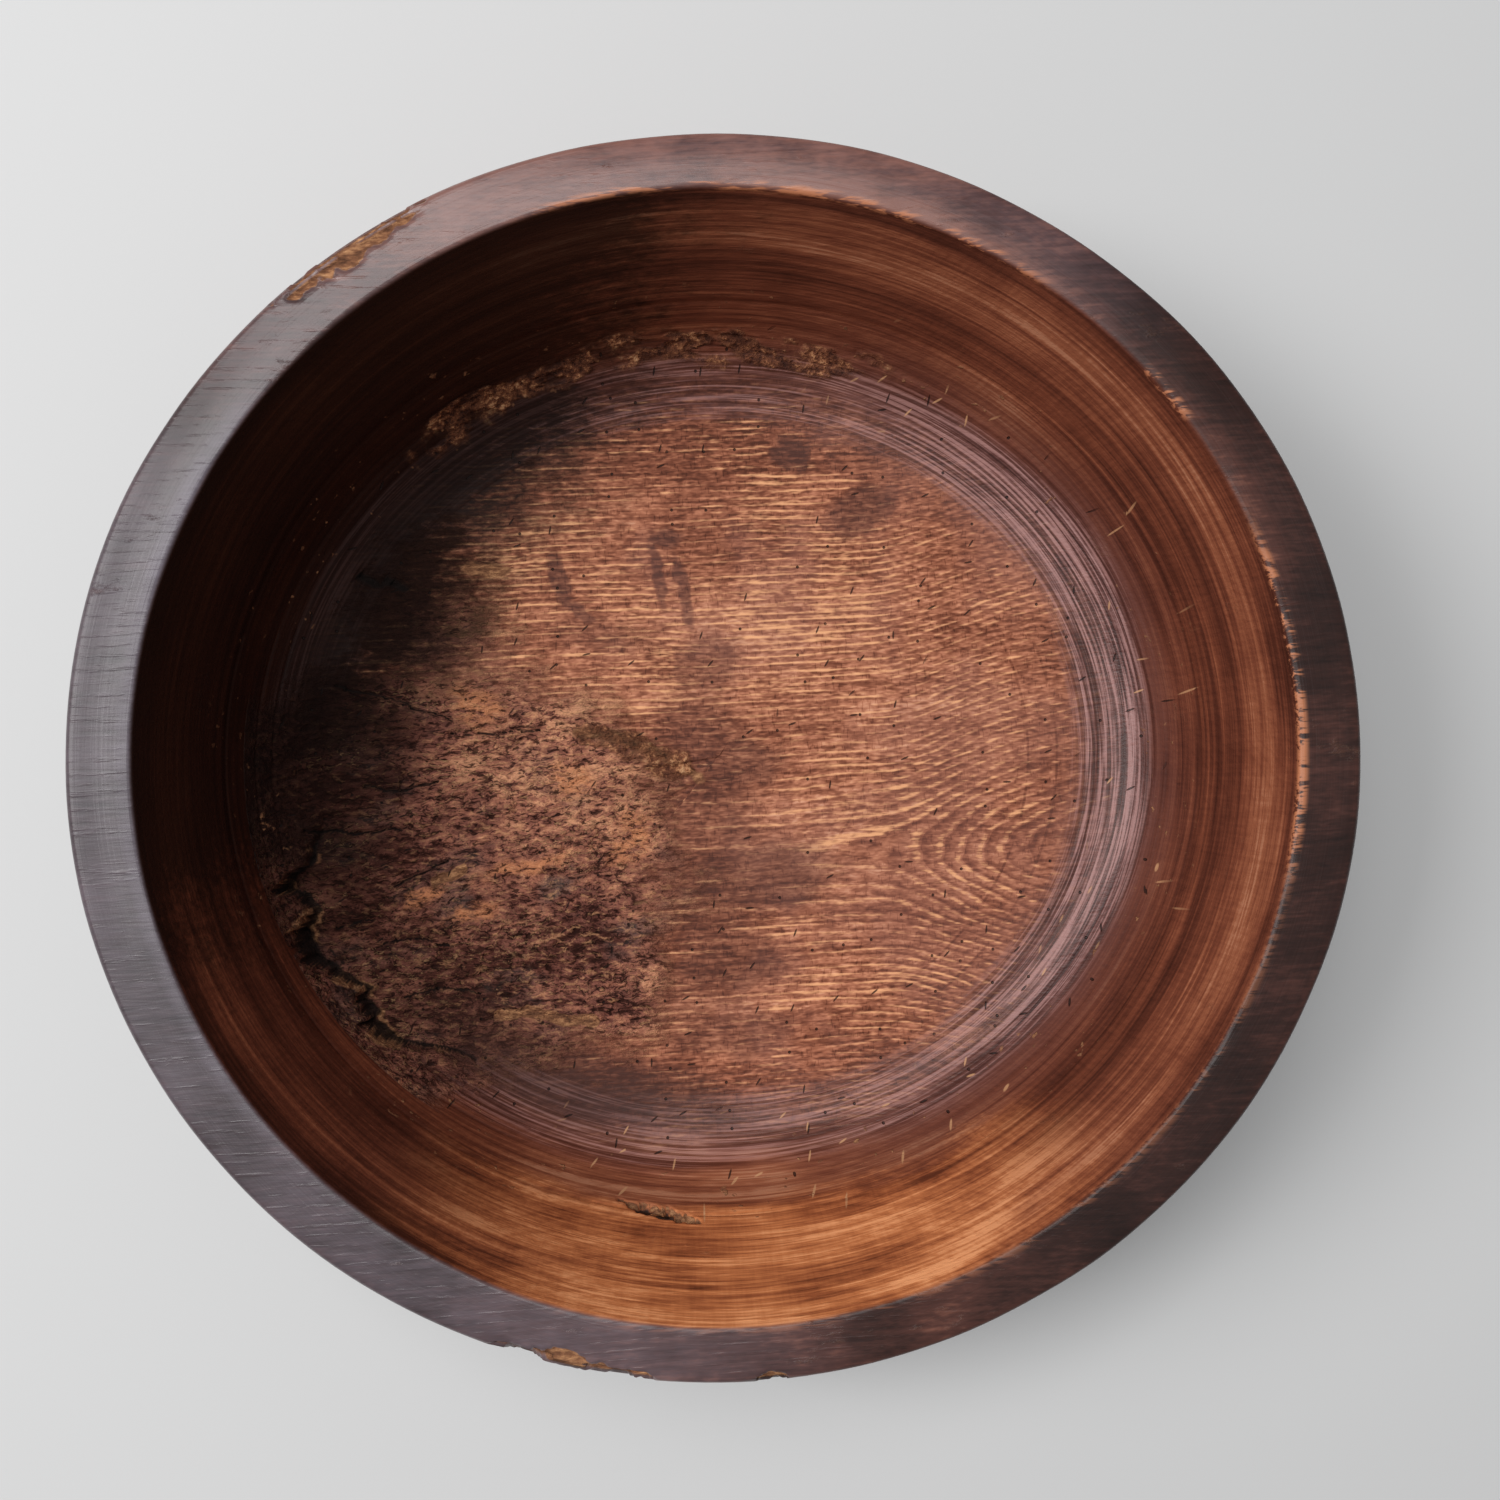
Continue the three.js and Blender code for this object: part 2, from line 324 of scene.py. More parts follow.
def from_line(points, line):
    """How far each point lies, seen from above, from a line through places in millimetres."""
    nearest = np.full(len(points), np.inf)
    for start, end in zip(line, line[1:]):
        start = np.array(start) * MM
        run = np.array(end) * MM - start
        share = np.clip((points[:, :2] - start) @ run / (run @ run), 0, 1)
        aside = points[:, :2] - start - share[:, None] * run
        nearest = np.minimum(nearest, np.linalg.norm(aside, axis=1))
    return nearest


# How deep each point is pressed into the wood, and where torn or crevassed wood shows
pressed = np.zeros(len(place))
torn = np.zeros(len(place))
crevice = np.zeros(len(place))

# The rim and wall wander a little, as hand-turned and dried wood does
wander = cloudy(place, (70, 70, 70), 2, 3.1)
over_the_rim = smooth(stretch_start["wall"], stretch_start["rim"], along)
over_the_base = smooth(stretch_start["base"], stretch_start["side"], along)
pressed += wander_depth * wander * over_the_rim * over_the_base

# The sunken floor, with its plates left standing
sunk_across = (x - sunk_middle[0]) / sunk_length
sunk_beside = (y - sunk_middle[1]) / sunk_width
sunk_turn = np.arctan2(sunk_beside, sunk_across)
lobes = 1 + 0.06 * np.sin(3 * sunk_turn) + 0.04 * np.cos(5 * sunk_turn)
sunk_reach = 2 * np.hypot(sunk_across, sunk_beside) / lobes
up_slope = np.clip((sunk_reach - sunk_level_share) / (1 - sunk_level_share), 0, 1)
old_floor = floor_thickness + floor_dish
sunk_level = old_floor - sunk_depth * (1 + np.cos(math.pi * up_slope)) / 2
ragged_outline = 0.16 * cloudy(place, (11, 6, 11), 3, 3.7)
standing = np.zeros(len(place))
for plate in plates:
    from_plate = np.hypot(
        (sunk_across - plate["along"]) / plate["length"], (sunk_beside - plate["across"]) / plate["width"],
    )
    standing = np.maximum(standing, smooth(1.04, 0.92, 2 * from_plate + ragged_outline))
plate_level = np.maximum(sunk_level, floor_thickness - plate_sink)
sunk_level += standing * (plate_level - sunk_level)
on_floor_side = in_hollow & (along < stretch_start["wall"])
dropped = np.where(on_floor_side, np.maximum(np.minimum(z, old_floor) - sunk_level, 0), 0)

# The rotted crust: lumps drawn out along the grain, parted by sharp cracks
rot_reach = np.cbrt(
    (np.abs(x - rot_middle[0]) / rot_half_length) ** 3 + (np.abs(y - rot_middle[1]) / rot_half_width) ** 3,
)
rot_reach += 0.2 * cloudy(place, (45, 35, 60), 3, 7.7)
rot = np.where(on_floor_side, smooth(1.04, 0.55, rot_reach), 0)
rotted = rot > 0
rot_place = place[rotted]
flat_place = rot_place * np.array((1, 1, 0))
bend = 2.5 * MM * cloudy(flat_place, (16, 16, 16), 2, 1.3)
bent_place = flat_place + np.stack((bend, 0.6 * bend, 0 * bend), axis=1)
drawn_lumps = np.abs(cloudy(bent_place, (9, 3.0, 9), 3, 0.4))
round_lumps = np.abs(cloudy(bent_place, (5.0, 3.6, 9), 3, 5.2))
drawn_share = smooth(-75 * MM, -125 * MM, rot_place[:, 0] + 0.2 * rot_place[:, 1])
lumps = drawn_share * drawn_lumps + (1 - drawn_share) * round_lumps
pressed[rotted] += crust_height * rot[rotted] ** 2 * (0.5 - np.minimum(1.6 * lumps, 0.9))
crevice[rotted] = 0.6 * rot[rotted] ** 2 * smooth(0.09, 0.0, lumps)

wobble = place + MM * np.stack(
    (1.6 * cloudy(place, (9, 9, 9), 4, 2.2), 1.6 * cloudy(place, (9, 9, 9), 4, 8.4), 0 * x), axis=1,
)
for crack in rot_cracks:
    gap = smooth(crack_width, 0.25 * crack_width, from_line(wobble, crack)) * on_floor_side
    pressed += crack_depth * gap
    crevice = np.maximum(crevice, gap)
for slot in beetle_slots:
    gap = smooth(2.6 * MM, 1.4 * MM, from_line(wobble, slot)) * on_floor_side
    pressed += beetle_slot_depth * gap
    crevice = np.maximum(crevice, gap)
for slot in fibre_slots:
    gap = smooth(3.4 * MM, 1.4 * MM, from_line(wobble, slot)) * on_floor_side
    pressed += fibre_slot_depth * gap
    torn = np.maximum(torn, gap)
ridge = smooth(4.5 * MM, 0.5 * MM, from_line(wobble, fibre_ridge)) * on_floor_side
pressed -= fibre_ridge_height * ridge * (0.6 + 0.8 * np.abs(cloudy(place, (6, 2, 6), 3, 4.4)))
torn = np.maximum(torn, 0.8 * ridge)

# The torn ledge: everything over the rotted floor is broken away back to an uneven line along the grain
foot_angle = math.radians(ledge_foot_angle)
foot_radius = floor_radius + corner_round * math.sin(foot_angle)
foot_level = floor_thickness + floor_dish + corner_round * (1 - math.cos(foot_angle))
foot_rise = (foot_level - floor_thickness) / (height - floor_thickness)
foot_half_width = foot_radius * (floor_oval + (mouth_oval - floor_oval) * foot_rise)
across_grain = np.stack((0 * y, y, 0 * y), axis=1)
broad_splinters = cloudy(across_grain, (26, 21, 26), 2, 0.7)
thin_splinters = cloudy(across_grain, (5, 4, 5), 2, 6.3)
splinter = np.clip(0.5 + 1.1 * broad_splinters + 0.3 * thin_splinters, 0, 1)
ledge_start = smooth(ledge_from, ledge_from + 9, turn_degrees)
ledge_end = smooth(ledge_to, ledge_to - 9, turn_degrees)
ledge_span = ledge_start * ledge_end
foot_x = -foot_radius * np.sqrt(np.clip(1 - (y / foot_half_width) ** 2, 0, 1))
broken_to = foot_x - ledge_reach * (splinter * ledge_span - 0.9 * (1 - ledge_span))
broken_to += 0.8 * MM * cloudy(place, (3, 3, 2.2), 2, 4.9)
broken = on_floor_side & (ledge_span > 0) & (x > broken_to) & (x < 0)
ledge_floor = floor_thickness - ledge_sink + 1.6 * MM * cloudy(place, (9, 3.5, 9), 3, 2.9)
broken_drop = np.maximum(z - ledge_floor, 0) * smooth(0, 1.2 * MM, x - broken_to)
dropped = np.where(broken, np.maximum(broken_drop, dropped), dropped)
at_break = on_floor_side & (ledge_span > 0) & (x < 0)
pale_stretches = smooth(0, 0.3, cloudy(place, (16, 12, 16), 2, 5.8))
broken_edge = smooth(6 * MM, 1 * MM, np.abs(x - broken_to - 2 * MM)) * ledge_span * pale_stretches
torn = np.where(at_break, np.maximum(torn, broken_edge), torn)
# The foot under the ledge joins the crevice share, which is painted near-black as shade
under_ledge = smooth(6 * MM, 2 * MM, x - broken_to) * broken
crevice = np.maximum(crevice, smooth(3 * MM, 8 * MM, dropped) * under_ledge)

# The crumbled band on the corner at the far side, and the chips, gouge and worn edge
band_middle = stretch_start["corner"] + 31 * MM + 7 * MM * cloudy(place, (38, 38, 38), 2, 6.6)
band_start = smooth(crumble_from, crumble_from + 20, turn_degrees)
band_end = smooth(crumble_to, crumble_to - 8, turn_degrees)
on_band = smooth(crumble_half_width, 2 * MM, np.abs(along - band_middle))
crumble = band_start * band_end * on_band * in_hollow
crumble *= 0.35 + 0.65 * smooth(-0.25, 0.25, cloudy(place, (16, 9, 9), 3, 1.9))
pressed += crumble_depth * crumble * (0.3 + 1.4 * np.abs(cloudy(place, (5, 3.4, 4), 3, 3.3)))

for chip in rim_chips:
    tangent = (turn_degrees - chip["angle"]) * math.radians(1) * rim_radius / (chip["half_length"] * MM)
    ragged = 0.35 * cloudy(place, (7, 7, 7), 3, chip["angle"])
    on_edge = (along > stretch_start["rim"]) & (along < stretch_start["lip"] + 12 * MM)
    past_edge = np.abs(along - stretch_start["rim_edge"] - 2 * MM)
    inward = past_edge / np.where(along < stretch_start["rim_edge"], chip["bite"] * MM, chip["drop"] * MM)
    bitten = smooth(1.05, 0.75, np.hypot(tangent, inward) + ragged) * on_edge
    pressed += 0.75 * chip["drop"] * MM * bitten
    torn = np.maximum(torn, bitten)

gouge_turn = (turn_degrees - wall_gouge["angle"]) * math.radians(1) * mouth_half_width
gouge_rise = z - wall_gouge["level"] * MM - 0.22 * gouge_turn
gouge_reach = np.hypot(
    gouge_turn / (wall_gouge["half_length"] * MM), gouge_rise / (wall_gouge["half_height"] * MM),
)
gouged = smooth(1, 0.55, gouge_reach + 0.5 * cloudy(place, (7, 7, 4), 3, 2.5)) * in_hollow
pressed += wall_gouge["depth"] * MM * gouged
torn = np.maximum(torn, smooth(0.05, 0.3, gouged) * smooth(0.95, 0.6, gouged))
crevice = np.maximum(crevice, smooth(0.7, 1, gouged))

edge_wear = smooth(4 * MM, 0.5 * MM, np.abs(along - stretch_start["rim"]))
pressed += edge_wear_depth * edge_wear * np.abs(cloudy(place, (6, 6, 6), 3, 5.5))

place -= outward * pressed[:, None]
place[:, 2] -= dropped
for vert, moved in zip(bowl_mesh.verts, place):
    vert.co = moved

bowl_data = bpy.data.meshes.new("turned_bowl")
bowl_mesh.to_mesh(bowl_data)
bowl_mesh.free()
bowl_data.shade_smooth()
turning = np.stack((np.cos(turn), np.sin(turn), along), axis=1).astype(np.float32)
bowl_data.attributes.new("turning", "FLOAT_VECTOR", "POINT").data.foreach_set("vector", turning.ravel())
shares = {"rot": rot, "plate": standing * rot, "torn": torn, "crevice": crevice, "crumble": crumble}
for name, share in shares.items():
    bowl_data.attributes.new(name, "FLOAT", "POINT").data.foreach_set("value", share.astype(np.float32))
bowl = bpy.data.objects.new("turned_bowl", bowl_data)
bpy.context.scene.collection.objects.link(bowl)

# The wood and its old lacquer, in one material that runs solid through the block.
# Growth rings and fibres lie along X, and the turner's lines run round the bowl. The lacquer is
# thickest on the rim and the outside, thin on the wall, and worn off the floor.
wood = bpy.data.materials.new("old_lacquered_wood")
wood.use_nodes = True
wood_nodes = wood.node_tree
wood_nodes.nodes.clear()


def add_node(kind, inputs=None, **settings):
    """A node of the wood, with its settings, and its inputs set or linked."""
    made = wood_nodes.nodes.new("ShaderNode" + kind)
    for name, value in settings.items():
        setattr(made, name, value)
    for name, value in (inputs or {}).items():
        if isinstance(value, bpy.types.NodeSocket):
            wood_nodes.links.new(value, made.inputs[name])
        else:
            made.inputs[name].default_value = value
    return made


def reckon(operation, first, second=0.0):
    return add_node("Math", {0: first, 1: second}, operation=operation).outputs[0]


def times(first, *others):
    for other in others:
        first = reckon("MULTIPLY", first, other)
    return first


def plus(first, *others):
    for other in others:
        first = reckon("ADD", first, other)
    return first


def strongest(first, *others):
    for other in others:
        first = reckon("MAXIMUM", first, other)
    return first


def all_but(share):
    """What a share leaves of the whole."""
    return reckon("SUBTRACT", 1.0, share)


def swing(field, amount):
    """A field from 0 to 1 as a change to either side of nothing."""
    return times(reckon("SUBTRACT", field, 0.5), amount)


def share_between(value, start, end):
    """0 at start, 1 at end, eased between."""
    ranged = add_node(
        "MapRange", {"Value": value, "From Min": start, "From Max": end}, interpolation_type="SMOOTHSTEP",
    )
    return ranged.outputs["Result"]


def even_share(value, start, end):
    """0 at start, 1 at end, evenly between."""
    return add_node("MapRange", {"Value": value, "From Min": start, "From Max": end}).outputs["Result"]


def between(share, under, over):
    """A number between two others by a share."""
    return add_node("Mix", {0: share, 2: under, 3: over}, data_type="FLOAT").outputs[0]


def blend(share, under, over):
    """One colour laid over another by a share."""
    return add_node("Mix", {0: share, 6: under, 7: over}, data_type="RGBA").outputs[2]


def graded(tone, *stops):
    """The colour for a tone from 0 to 1, by stops of a tone and its red, green and blue."""
    ramp = add_node("ValToRGB", {"Fac": tone})
    for _ in stops[2:]:
        ramp.color_ramp.elements.new(0.5)
    for element, (place, hue) in zip(ramp.color_ramp.elements, stops):
        element.position = place
        element.color = (*hue, 1.0)
    return ramp.outputs["Color"]


def toned(value, *stops):
    """A tone from 0 to 1 for a value, by stops of a value and its tone."""
    return graded(value, *[(place, (tone,) * 3) for place, tone in stops])


def stretched(vector, scale, shift=(0, 0, 0)):
    return add_node("Mapping", {"Vector": vector, "Scale": scale, "Location": shift}).outputs["Vector"]


def cloud(vector, scale=1.0, detail=3.0, roughness=0.55):
    """An even-sided cloudy field from 0 to 1."""
    inputs = {"Vector": vector, "Scale": scale, "Detail": detail, "Roughness": roughness}
    return add_node("TexNoise", inputs).outputs[0]


def drawn_cloud(vector, scale, detail, roughness, shift=(0, 0, 0)):
    """A cloud drawn out by its own scale along X, Y and Z."""
    return cloud(stretched(vector, scale, shift), 1.0, detail, roughness)


def shaken(vector, scale, reach):
    """Places moved about by up to half of a reach along X, Y and Z."""
    field = add_node("TexNoise", {"Vector": vector, "Scale": scale, "Detail": 2.0}).outputs["Color"]
    field = add_node("VectorMath", {0: field, 1: (0.5, 0.5, 0.5)}, operation="SUBTRACT").outputs[0]
    field = add_node("VectorMath", {0: field, 1: reach}, operation="MULTIPLY").outputs[0]
    return add_node("VectorMath", {0: vector, 1: field}, operation="ADD").outputs[0]


def measured(name, output="Fac"):
    return add_node("Attribute", attribute_name=name).outputs[output]


in_block = add_node("TexCoord").outputs["Object"]
turning_vector = measured("turning", "Vector")
toward_right, _, along_cut = add_node("SeparateXYZ", {"Vector": turning_vector}).outputs
rotted_share = measured("rot")
plate_share = measured("plate")
torn_share = measured("torn")
crevice_share = measured("crevice")


def towards(angle, vector=in_block):
    """How far a place, in metres, or a direction reaches towards an angle round the bowl."""
    direction = (math.cos(math.radians(angle)), math.sin(math.radians(angle)), 0)
    return add_node("VectorMath", {0: vector, 1: direction}, operation="DOT_PRODUCT").outputs["Value"]


def facing(angle, half_span, fade):
    """1 within half a span of an angle round the bowl, in degrees, and fading out past it."""
    fade_end = math.cos(math.radians(half_span + fade))
    return share_between(towards(angle, turning_vector), fade_end, math.cos(math.radians(half_span)))


def along_from(stretch, start, end, distance=along_cut):
    """0 at one distance past the start of a stretch of the cut and 1 at another, in millimetres."""
    begins = stretch_start[stretch]
    return share_between(distance, begins + start * MM, begins + end * MM)


def close_to(distance, fade_end, fade_start):
    """1 close to a distance along the cut, fading out to either side of it, all in metres."""
    aside = reckon("ABSOLUTE", reckon("SUBTRACT", along_cut, distance))
    return share_between(aside, fade_end, fade_start)


uneven_place = shaken(in_block, 55.0, (16 * MM, 16 * MM, 0))
uneven_place = shaken(uneven_place, 240.0, (5 * MM, 4 * MM, 0))
uneven_place = shaken(uneven_place, 380.0, (10 * MM, 0, 0))
steadier_place = shaken(in_block, 160.0, (6 * MM, 6 * MM, 0))


def patch(middle, half_size, turn=0, softness=0.6, place=uneven_place):
    """1 inside an uneven oval on the floor, placed and sized in millimetres and turned in degrees."""
    centred = add_node("Mapping", {
        "Vector": place,
        "Location": (middle[0] * MM, middle[1] * MM, 0),
        "Rotation": (0, 0, math.radians(turn)),
        "Scale": (half_size[0] * MM, half_size[1] * MM, 10),
    }, vector_type="TEXTURE").outputs["Vector"]
    reach = add_node("VectorMath", {0: centred}, operation="LENGTH").outputs["Value"]
    return share_between(reach, 1 + softness / 2, 1 - softness)


def small_patch(middle, half_size, turn=0):
    """An oval that is crisper and less uneven."""
    return patch(middle, half_size, turn, 0.4, steadier_place)


# Where the floor, wall, rim and outside meet, by the distance along the cut
wandering = swing(cloud(turning_vector, 1.7, 3.0, 0.5), 18 * MM)
wandering_along = plus(along_cut, wandering)
past_corner = along_from("corner", 10, 26, wandering_along)
near_corner = along_from("corner", -34, 20, wandering_along)
past_mouth = along_from("rim", -3, -0.5)
past_lip = along_from("lip", 0, 4)
on_base = along_from("base", -4, 4)
on_right = share_between(toward_right, 0.1, 0.85)
on_left = share_between(toward_right, -0.35, -0.92)
on_far_side = facing(78, 22, 30)
on_near_side = facing(-89, 9, 35)
# Painted shade: how far into the left wall's shadow a place on the floor lies
painted_shade_to_left = share_between(towards(180), 85 * MM, 175 * MM)
at_ends = strongest(on_right, share_between(toward_right, -0.1, -0.85))

# Fibres: long ones in lines, short dashes, specks, and slow bands, all along the grain
in_grain = shaken(in_block, 9.0, (0, 4.5 * MM, 4.5 * MM))
fibres = drawn_cloud(in_grain, (22, 420, 420), 2.0, 0.6)
dashes = drawn_cloud(in_grain, (70, 560, 560), 2.0, 0.65)
specks = drawn_cloud(in_grain, (260, 700, 700), 1.0, 0.6)
bands = drawn_cloud(in_grain, (8, 60, 60), 2.0, 0.6)
blotches = cloud(in_block, 26.0, 3.0, 0.62)
crisp_dashes = share_between(plus(dashes, swing(specks, 0.25)), 0.43, 0.57)
fine_dashes = drawn_cloud(in_grain, (70, 760, 760), 2.0, 0.6)
ticks = share_between(drawn_cloud(in_block, (950, 260, 260), 1.0, 0.5), 0.40, 0.30)

# Growth rings round a pith line that runs level under the floor and bends up towards the right.
# So they lie along the grain over most of the floor, and meet in nested arcs at the right.
pith_y = -46 * MM
pith_z = -6 * MM
bend_start = 68 * MM
bend_reach = 70 * MM
bend_height = 36 * MM
ring_width = 3.1 * MM
ring_lean = 0.45
grain_x, grain_y, grain_z = add_node("SeparateXYZ", {"Vector": in_grain}).outputs
past_bend = reckon("POWER", strongest(reckon("SUBTRACT", grain_x, bend_start), 0.0), 2.0)
bent_up = times(reckon("DIVIDE", past_bend, plus(past_bend, bend_reach ** 2)), bend_height)
beside_pith = reckon("POWER", reckon("SUBTRACT", grain_y, pith_y), 2.0)
over_floor = times(reckon("SUBTRACT", grain_z, floor_thickness), ring_lean)
level_over_pith = plus(over_floor, floor_thickness - pith_z)
over_pith = reckon("POWER", level_over_pith, 2.0)
pith_distance = reckon("SUBTRACT", reckon("SQRT", plus(beside_pith, over_pith)), bent_up)
ring_sway = times(drawn_cloud(in_block, (12, 60, 60), 2.0, 0.6), 1.8)
ring_share = reckon("FRACT", plus(times(pith_distance, 1 / ring_width), ring_sway))
late_wood = times(share_between(ring_share, 0.55, 0.90), share_between(ring_share, 1.0, 0.95))
early_wood = times(share_between(ring_share, 0.0, 0.12), share_between(ring_share, 0.46, 0.24))

# The turner's lines: clouds drawn out round the bowl, and end grain standing across them at both ends
turned_streaks = drawn_cloud(turning_vector, (1.3, 1.3, 230), 3.0, 0.68)
turned_lines = drawn_cloud(turning_vector, (3.2, 3.2, 900), 2.0, 0.6)
end_grain = drawn_cloud(turning_vector, (120, 120, 55), 2.0, 0.6)
tool_arc_distances = (66 * MM, 138 * MM, 151 * MM)
tool_arcs = times(
    strongest(*[close_to(distance, 0.8 * MM, 0.3 * MM) for distance in tool_arc_distances]),
    facing(-22, 26, 24), share_between(cloud(in_block, 45.0, 2.0, 0.6), 0.42, 0.56),
)
groove_spacing = 3.4 * MM
grooves = reckon("SINE", plus(times(along_cut, math.tau / groove_spacing), swing(turned_streaks, 16.0)))

# Stains on the floor, each a listed oval
stains = strongest(
    times(patch((-6, -34), (26, 84), 3, 0.5), 0.7), times(patch((-4, 40), (17, 16), 0, 0.4), 0.7),
    patch((14, -54), (36, 17), 4, 0.4), times(patch((4, -2), (24, 13), 0, 0.4), 0.8),
    times(patch((2, -92), (26, 12), 0, 0.4), 0.8), times(patch((-4, -122), (30, 12), 0, 0.5), 0.7),
    times(patch((-30, -104), (46, 18), -4), 0.6), patch((-70, -140), (56, 22), -8),
    patch((68, 106), (17, 10), 20, 0.4), patch((38, 131), (9, 8), 0, 0.4),
    small_patch((-66, 80), (4, 15), 14), small_patch((-58, 66), (10, 3), -35),
    small_patch((-23, 82), (3, 17), 8), small_patch((-12, 72), (3, 19), 10),
    small_patch((-19, 97), (8, 4), 0),
    times(patch((-46, 56), (26, 9), -8, 0.9), 0.6), small_patch((156, 76), (5, 10), -20),
)

# Bare floor: golden dashes in rows on red-brown wood, dulled to violet brown in places, and stained
arcs_share = patch((98, -62), (78, 66), 0, 0.8)
bright_share = patch((45, 72), (62, 36))
floor_tone = plus(
    0.50, times(bright_share, 0.08), times(on_right, 0.05),
    times(early_wood, 0.06), times(late_wood, -0.10), times(late_wood, arcs_share, -0.12),
    swing(crisp_dashes, 0.20), swing(specks, 0.8), swing(bands, 0.6), swing(blotches, 0.5),
    times(ticks, -0.18), times(stains, -0.15),
    times(on_far_side, even_share(along_cut, 50 * MM, 150 * MM), -0.13),
    times(near_corner, between(on_right, -0.22, -0.06)),
    times(tool_arcs, -0.22),
)
golden_patches = drawn_cloud(in_block, (16, 26, 26), 3.0, 0.6, (4, 1, 6))
golden_dashes = share_between(
    plus(
        times(fine_dashes, 0.7),
        times(early_wood, 0.14), times(early_wood, arcs_share, 0.03), times(late_wood, -0.05),
        swing(specks, 0.25), swing(fibres, 0.30), swing(bands, 0.15), swing(golden_patches, 0.40),
        times(stains, -0.10), times(near_corner, -0.08), times(bright_share, 0.05),
        times(on_far_side, even_share(along_cut, 80 * MM, 140 * MM), -0.06),
        times(on_right, even_share(along_cut, 60 * MM, 130 * MM), -0.05),
    ),
    0.37, 0.64,
)
violet_at_right = times(on_right, even_share(along_cut, 40 * MM, 150 * MM), 0.10)
violet_share = share_between(plus(cloud(in_block, 15.0, 3.0, 0.6), violet_at_right), 0.52, 0.68)
floor_colour = graded(
    floor_tone,
    (0.0, (0.090, 0.025, 0.013)), (0.25, (0.20, 0.062, 0.033)), (0.5, (0.36, 0.128, 0.070)),
    (0.75, (0.58, 0.235, 0.135)), (1.0, (0.84, 0.43, 0.27)),
)
floor_violet = (0.26, 0.112, 0.090, 1)
floor_colour = blend(times(violet_share, 0.3), floor_colour, floor_violet)
floor_gold = (0.98, 0.50, 0.25, 1)
floor_colour = blend(times(golden_dashes, 0.85), floor_colour, floor_gold)
stain_brown = (0.080, 0.042, 0.038, 1)
floor_colour = blend(times(stains, 0.38), floor_colour, stain_brown)

# Thin lacquer on the wall, in bands that the turner's tool left, golden on pale wood at the near side
up_the_wall = even_share(wandering_along, stretch_start["corner"], stretch_start["rim"])
wall_bands = toned(
    up_the_wall,
    (0.09, 0.58), (0.19, 0.44), (0.25, 0.50), (0.39, 0.62), (0.48, 0.45), (0.57, 0.41),
    (0.66, 0.42), (0.76, 0.58), (0.85, 0.64), (0.93, 0.36), (1.0, 0.14),
)
wall_tone = plus(
    wall_bands, -0.04, times(on_near_side, 0.30), times(on_far_side, 0.16),
    times(facing(-36, 20, 24), share_between(up_the_wall, 0.78, 0.90), 0.24),
    times(facing(0, 60, 30), share_between(up_the_wall, 0.50, 0.95), 0.10),
    swing(turned_streaks, 1.4), swing(turned_lines, 0.6), swing(blotches, 0.6),
    times(between(at_ends, 0.5, 0.15), swing(dashes, 0.6)),
    # Painted shade: the wall is darker at the left, away from the lamps
    times(at_ends, swing(end_grain, 0.25)), times(late_wood, -0.04), times(on_left, -0.10),
)
wall_colour = graded(
    wall_tone,
    (0.0, (0.045, 0.0115, 0.0065)), (0.3, (0.100, 0.0265, 0.0145)), (0.6, (0.20, 0.057, 0.029)),
    (0.85, (0.34, 0.114, 0.056)), (1.0, (0.48, 0.205, 0.115)),
)
foot_violet = (0.105, 0.043, 0.038, 1)
foot_streaks = plus(0.45, swing(turned_streaks, 1.5))
foot_share = times(share_between(up_the_wall, 0.55, 0.25), facing(0, 62, 30), foot_streaks)
wall_colour = blend(foot_share, wall_colour, foot_violet)
golden_bands = toned(
    up_the_wall,
    (0.39, 0.54), (0.48, 0.60), (0.57, 0.50), (0.66, 0.77),
    (0.76, 0.80), (0.85, 0.68), (0.93, 0.64), (1.0, 0.35),
)
golden_tone = plus(
    golden_bands, -0.06, swing(turned_streaks, 1.6), swing(turned_lines, 0.9), swing(dashes, 0.5),
    swing(bands, 1.5), swing(blotches, 1.0), times(late_wood, -0.07), swing(end_grain, 0.2),
)
golden_colour = graded(
    golden_tone,
    (0.0, (0.13, 0.034, 0.014)), (0.35, (0.36, 0.104, 0.038)),
    (0.7, (0.63, 0.215, 0.078)), (1.0, (0.95, 0.41, 0.18)),
)
golden_from = plus(wandering_along, swing(bands, 30 * MM), swing(dashes, 12 * MM))
golden_share = times(on_near_side, along_from("wall", 2, 20, golden_from))
wall_colour = blend(golden_share, wall_colour, golden_colour)

# Thick lacquer on the rim and the outside, rubbed redder at the far side and along the edges
inner_edge = close_to(stretch_start["rim"] - 1.2 * MM, 3.5 * MM, 0.8 * MM)
outer_edge = close_to(stretch_start["rim_edge"] + 2.4 * MM, 4 * MM, 1 * MM)
scuffs = share_between(drawn_cloud(in_block, (60, 90, 60), 5.0, 0.7), 0.56, 0.70)
rim_tone = plus(
    0.30, swing(fibres, 0.4), swing(dashes, 0.45), swing(blotches, 0.9), swing(specks, 0.3),
    # The small lift at 238 degrees is partly painted sheen spreading down the near left
    times(facing(97, 20, 32), 0.56), times(facing(270, 12, 22), 0.24), times(facing(238, 14, 30), 0.10),
    times(on_left, -0.08), times(outer_edge, 0.10), times(past_lip, swing(turned_streaks, 0.8)),
    times(facing(48, 26, 20), along_from("rim", 12, 0), 0.30),
    times(past_lip, scuffs, 0.20), times(past_lip, -0.05),
)
rim_colour = graded(
    rim_tone,
    (0.0, (0.016, 0.009, 0.008)), (0.35, (0.038, 0.016, 0.013)),
    (0.65, (0.090, 0.034, 0.026)), (1.0, (0.27, 0.105, 0.068)),
)
